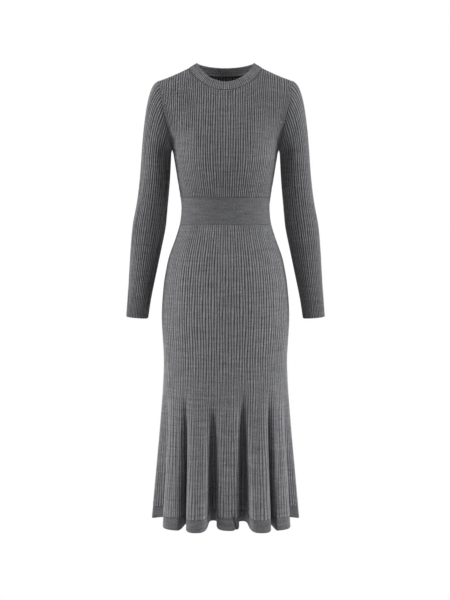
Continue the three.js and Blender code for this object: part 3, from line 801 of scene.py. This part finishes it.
# For each crest and valley of the hem's folds: where on the panel, x, how far out, how far up, how
# the hem slopes there and how broadly the cloth turns
FRONT_FOLDS = np.array([
    (-28, -186, 0, 0, 0, 0.7),
    (-22.6, -147, 14, 4, 0, 0.6),
    (-18.2, -121, 133, -5, 0, 1.35),
    (-14.4, -98, 96, 4, 0, 0.45),
    (-9.3, -68, 163, -5, 0.07, 1.35),
    (-4.4, -31, 74, 8, 0, 0.75),
    (0.8, 5, 149, -2.5, -0.04, 1.35),
    (6.1, 43, 76, 7, 0, 0.75),
    (11.3, 83, 163, -5, -0.08, 1.35),
    (15.6, 112, 98, 4, 0, 0.45),
    (19.2, 129, 133, -5, 0, 1.35),
    (22.9, 149, 14, 4, 0, 0.6),
    (28, 186, 0, 0, 0, 0.7),
])
BACK_FOLDS = np.array([
    (-28, -186, 0, 0, 0, 0.7),
    (-22.5, -149, 26, 5, 0, 0.6),
    (-17.5, -116, 128, 0, 0.03, 1.3),
    (-12.5, -80, 74, 5, 0, 0.7),
    (-7.5, -46, 148, -1, -0.05, 1.35),
    (-2.5, -12, 78, 6, 0, 0.75),
    (3, 24, 144, 0, 0.04, 1.35),
    (8, 59, 76, 6, 0, 0.75),
    (13, 93, 143, -1, 0.06, 1.35),
    (17.4, 119, 84, 4, 0, 0.55),
    (20.6, 137, 109, 1, 0, 1.3),
    (23.6, 157, 26, 4, 0, 0.6),
    (28, 186, 0, 0, 0, 0.7),
])

# How much higher each fold starts: where on the panel, as in the folds, and by how much
FOLD_TOPS = np.array([
    (-28, 0),
    (-18, 16),
    (-14.4, 44),
    (-9, 14),
    (-4.4, 6),
    (1, 4),
    (6.1, 40),
    (11, 8),
    (15.6, 48),
    (21, 12),
    (28, 0),
])
FOLD_SOFT = 0.22
HEM_SEAM_DEPTH = 0.5
FOLD_SPREAD = np.linspace(-0.08, 0.08, 9)  # a fold starts broad and shallow
FOLD_SHARP = (0.06, 0.42)

# A small pinch in the middle fold, from a little above the hem down to it
PINCH_TOP = -1098
PINCH_X = (13, 24)
PINCH_WIDTH = 3.2
PINCH_DEPTH = 13
PINCH_REACH = 120


def hem_folds(face, across):
    """The folded hem, as a chain of curves from crest to valley to crest."""
    folds = FRONT_FOLDS if face == FRONT else BACK_FOLDS
    at = folds[:, 0] / FOLD_HALF
    ends = place(folds[:, 1], face * folds[:, 2], HEM + folds[:, 3])
    way = unit(body_round(face, at + STEP, HEM) - body_round(face, at - STEP, HEM))
    way = unit(mix(way, np.array([1.0, 0, 0]), 1 - FOLD_TURN))
    way[:, 2] = folds[:, 4]
    way[0] = (0, face, 0)
    way[-1] = (0, -face, 0)
    chord = np.diff(ends, axis=0)
    turn = folds[:, 5]
    start = ends[:-1] + way[:-1] * (turn[:-1] * np.abs((chord * way[:-1]).sum(-1)))[:, None]
    end = ends[1:] - way[1:] * (turn[1:] * np.abs((chord * way[1:]).sum(-1)))[:, None]
    rib = across * FOLD_HALF
    i = np.clip(np.searchsorted(folds[:, 0], rib) - 1, 0, len(folds) - 2)
    t = (rib - folds[i, 0]) / (folds[i + 1, 0] - folds[i, 0])
    from_crest = CREST_RIBS * t + (1 - CREST_RIBS) * t**3
    to_crest = 1 - CREST_RIBS * (1 - t) - (1 - CREST_RIBS) * (1 - t) ** 3
    at_side = (i == 0) | (i == len(folds) - 2)
    t = np.where(at_side, t, np.where(folds[i, 2] > folds[i + 1, 2], from_crest, to_crest))
    return curve(ends[i], start[i], end[i], ends[i + 1], t)


def skirt_point(face, across, z):
    """The body's round above, and the folds growing below."""
    top = FLARE_TOP + np.interp(across * FOLD_HALF, *FOLD_TOPS.T)
    share = np.maximum((top - z) / (top - HEM), 0) ** FOLD_START
    share = share * smooth(0, FOLD_SOFT, share)
    fold = hem_folds(face, across) - body_round(face, across, HEM)
    near = [across + d * (1 - across**2) for d in FOLD_SPREAD]
    soft = sum(hem_folds(face, a) - body_round(face, a, HEM) for a in near) / len(near)
    fold = mix(soft, fold, smooth(*FOLD_SHARP, share)[..., None])
    points = body_round(face, across, z) + fold * share[..., None]
    points[..., 1] = np.where(np.abs(across) == 1, face * SEAM_GAP / 2, points[..., 1])
    if face == FRONT:
        grown = smooth(PINCH_TOP, HEM, z)
        off = (points[..., 0] - mix(PINCH_X[0], PINCH_X[1], grown)) / PINCH_WIDTH
        points[..., 1] += PINCH_DEPTH * grown * np.exp(-off * off) * (points[..., 1] < -PINCH_REACH)
    return points


SKIRT_COLUMNS = SKIRT_RIBS * 8
SKIRT_ROWS = 84
SKIRT_HALF_WIDTH = 230
CLOSER = 0.6  # how far the columns follow the cloth that the folds take up
WIDE_RIB = (9, 12.5)  # a rib that spreads from the first to the second width divides into two


def skirt_columns(face):
    """A panel's columns, closer together where its folds take up more cloth, and the ribs there."""
    even = panel_across(face, 4 * SKIRT_COLUMNS)
    hem = skirt_point(face, even, np.array([[HEM]]))[0]
    used = np.concatenate([[0], np.cumsum(np.linalg.norm(np.diff(hem, axis=0), axis=1))])
    share = mix(np.linspace(0, 1, even.size), used / used[-1], CLOSER)
    across = np.interp(np.linspace(0, 1, SKIRT_COLUMNS + 1), share, even[0])[None, :]
    return across, (1 - face * across) / 2 * SKIRT_RIBS


# Soft folds below the waist and across the thighs, the same in front and behind
HIP_CREASES = [
    (-92, -424, 30, 7, 24, 1.2),
    (90, -430, 28, 7, -20, 1.2),
    (-118, -500, 26, 10, 38, 1.3),
    (112, -512, 28, 10, -36, 1.3),
    (-60, -690, 60, 16, 12, 1.4),
    (52, -730, 64, 17, -9, 1.4),
]
for side, face, flat, area in [
    ("front", FRONT, (0.98, 0.725), 0.368),
    ("back", BACK, (0.9, 0.725), 0.36),
]:
    across, ribs = skirt_columns(face)
    z = rows_between(HEM_SEAM + SEAM_GAP / 2, WAIST_BOTTOM - SEAM_GAP / 2, SKIRT_ROWS)
    points = skirt_point(face, across, z)
    out = outwards(points)
    from_side = (1 - np.abs(across)) * SKIRT_HALF_WIDTH
    out = eased(out, place(np.sign(across), 0, 0), from_side * np.ones_like(z), reach=4)
    level_out = unit(out * np.array([1, 1, 0]))
    out = eased(out, level_out, np.minimum(z - HEM_SEAM, WAIST_BOTTOM - z) * np.ones_like(across))
    more = smooth(MORE_TOP, MORE_BOTTOM, z)
    relief = mix(rib_relief(ribs, z), rib_relief(MORE_RIBS * ribs, z), more)
    spread = np.linalg.norm(np.gradient(points, axis=1), axis=-1) / np.gradient(MORE_RIBS * ribs, axis=1)
    divided = more * smooth(*WIDE_RIB, spread)
    relief = mix(relief, rib_relief(2 * MORE_RIBS * ribs, z), divided)
    seam = np.maximum(seam_line(z - HEM_SEAM, HEM_SEAM_DEPTH), seam_line(WAIST_BOTTOM - z, LINKED_SEAM))
    seam = np.maximum(seam, seam_line(from_side, LINKED_SEAM))
    height = WALL + RIB * relief * (1 - seam) - SEAM_DRAW * seam
    height = height + creases(HIP_CREASES, points[..., 0], points[..., 2])
    # Painted shade between the ribs and beside the seams
    painted_shade = rib_shade(relief, seam)
    cloth = knit_cloth(f"{side}_skirt", *turned_in(points, out, height, ribs, z, painted_shade))
    as_garment(
        cloth, rib_wool, "rib_knit", f"skirt_{side}",
        flat=flat, area=area, held="hung", rests_on=[f"{side}_waistband"],
    )

# Front and back hem band
# A plain band about 29 mm deep in the finer knit, linked to the skirt. It follows the folds and is
# turned in at its lower edge.
HEM_ROWS = np.array([0, 0.5, 1.2, 2.2, 4, 7, 11, 15.5, 20])  # up from the edge
SEAM_ROWS = np.array([5, 3.2, 1.8, 0.8, 0])  # down from the seam
EDGE_REACH = 1.1
EDGE_TURN = 1.4
for side, face, flat in [("front", FRONT, (1.01, 0.029)), ("back", BACK, (0.92, 0.029))]:
    across, ribs = skirt_columns(face)
    z = np.concatenate([HEM + HEM_ROWS, HEM_SEAM - SEAM_GAP / 2 - SEAM_ROWS])[:, None]
    points = skirt_point(face, across, z)
    out = unit(outwards(points) * np.array([1, 1, 0]))
    from_side = (1 - np.abs(across)) * SKIRT_HALF_WIDTH
    out = eased(out, place(np.sign(across), 0, 0), from_side * np.ones_like(z), reach=4)
    seam = np.maximum(seam_line(HEM_SEAM - z, HEM_SEAM_DEPTH), seam_line(from_side, LINKED_SEAM))
    turned = np.exp(-(((z - HEM) / EDGE_REACH) ** 2))
    height = BAND - BAND_DRAW * seam - EDGE_TURN * turned
    # Painted shade beside the seams
    painted_shade = SEAM_SHADE * seam
    cloth = knit_cloth(f"{side}_hem_band", *turned_in(points, out, height, 2 * ribs, z, painted_shade))
    as_garment(
        cloth, plain_wool, "plain_knit", f"hem_{side}",
        flat=flat, held="hung", rests_on=[f"{side}_skirt"],
    )

# Studio
# A plain pale floor below the hanging dress. Two softboxes stand at each side of it, a narrow light
# for its edges stands behind it at each side, and one softbox is high in front.
FLOOR_Z = -2.2
bm = bmesh.new()
bmesh.ops.create_circle(bm, cap_ends=True, segments=96, radius=2.6)
bmesh.ops.translate(bm, verts=bm.verts, vec=(0, 0, FLOOR_Z))
floor_mesh = bpy.data.meshes.new("studio_floor")
bm.to_mesh(floor_mesh)
bm.free()
floor = bpy.data.objects.new("studio_floor", floor_mesh)
bpy.context.scene.collection.objects.link(floor)
paper = bpy.data.materials.new("studio_paper")
paper.use_nodes = True
paper_finish = paper.node_tree.nodes["Principled BSDF"]
paper_finish.inputs["Base Color"].default_value = (0.95, 0.95, 0.95, 1)
paper_finish.inputs["Roughness"].default_value = 0.9
floor_mesh.materials.append(paper)

world = bpy.data.worlds.new("studio")
bpy.context.scene.world = world
world.use_nodes = True
sky = world.node_tree
backdrop = sky.nodes["Background"]
backdrop.inputs["Color"].default_value = (1, 1, 1, 1)
lit = sky.nodes.new("ShaderNodeBackground")
lit.inputs["Strength"].default_value = 0.05
seen = sky.nodes.new("ShaderNodeLightPath")
either = sky.nodes.new("ShaderNodeMixShader")
sky.links.new(seen.outputs["Is Camera Ray"], either.inputs[0])
sky.links.new(lit.outputs[0], either.inputs[1])
sky.links.new(backdrop.outputs[0], either.inputs[2])
sky.links.new(either.outputs[0], sky.nodes["World Output"].inputs["Surface"])

LIT_AT = (0, 0, -0.5)  # where every light is aimed


def soft_light(name, at, size, power):
    light = bpy.data.lights.new(name, "AREA")
    light.shape = "RECTANGLE"
    light.size, light.size_y = size
    light.energy = power
    lamp = bpy.data.objects.new(name, light)
    bpy.context.scene.collection.objects.link(lamp)
    lamp.location = at
    look = np.array(LIT_AT) - np.array(at)
    lamp.rotation_euler = (
        np.arctan2(np.hypot(look[0], look[1]), -look[2]),
        0,
        np.arctan2(look[1], look[0]) - np.pi / 2,
    )


for side, name in [(-1, "left"), (1, "right")]:
    soft_light(f"{name}_softbox", at=(side * 2.8, -0.52, 0.5), size=(0.7, 3.4), power=94)
    soft_light(f"{name}_key_softbox", at=(side * 2.6, -1.2, 0), size=(0.7, 3.4), power=43)
    soft_light(f"{name}_rim_light", at=(side * 1.8, 2.1, -0.2), size=(0.6, 2.4), power=60)
soft_light("front_softbox", at=(0, -4, 1.4), size=(3, 1.5), power=26)

CAMERA_TILT = 1.7  # degrees down from level
camera_data = bpy.data.cameras.new("photo_camera")
camera_data.lens = 92
camera_data.sensor_width = 36
camera_data.clip_end = 60
camera = bpy.data.objects.new("photo_camera", camera_data)
bpy.context.scene.collection.objects.link(camera)
camera.location = (-0.0013, -3.9, -0.36)
camera.rotation_euler = (np.radians(90 - CAMERA_TILT), 0, 0)
camera_data.shift_y = -0.0763
bpy.context.scene.camera = camera
bpy.context.scene.view_settings.view_transform = "Standard"

bpy.context.view_layer.update()
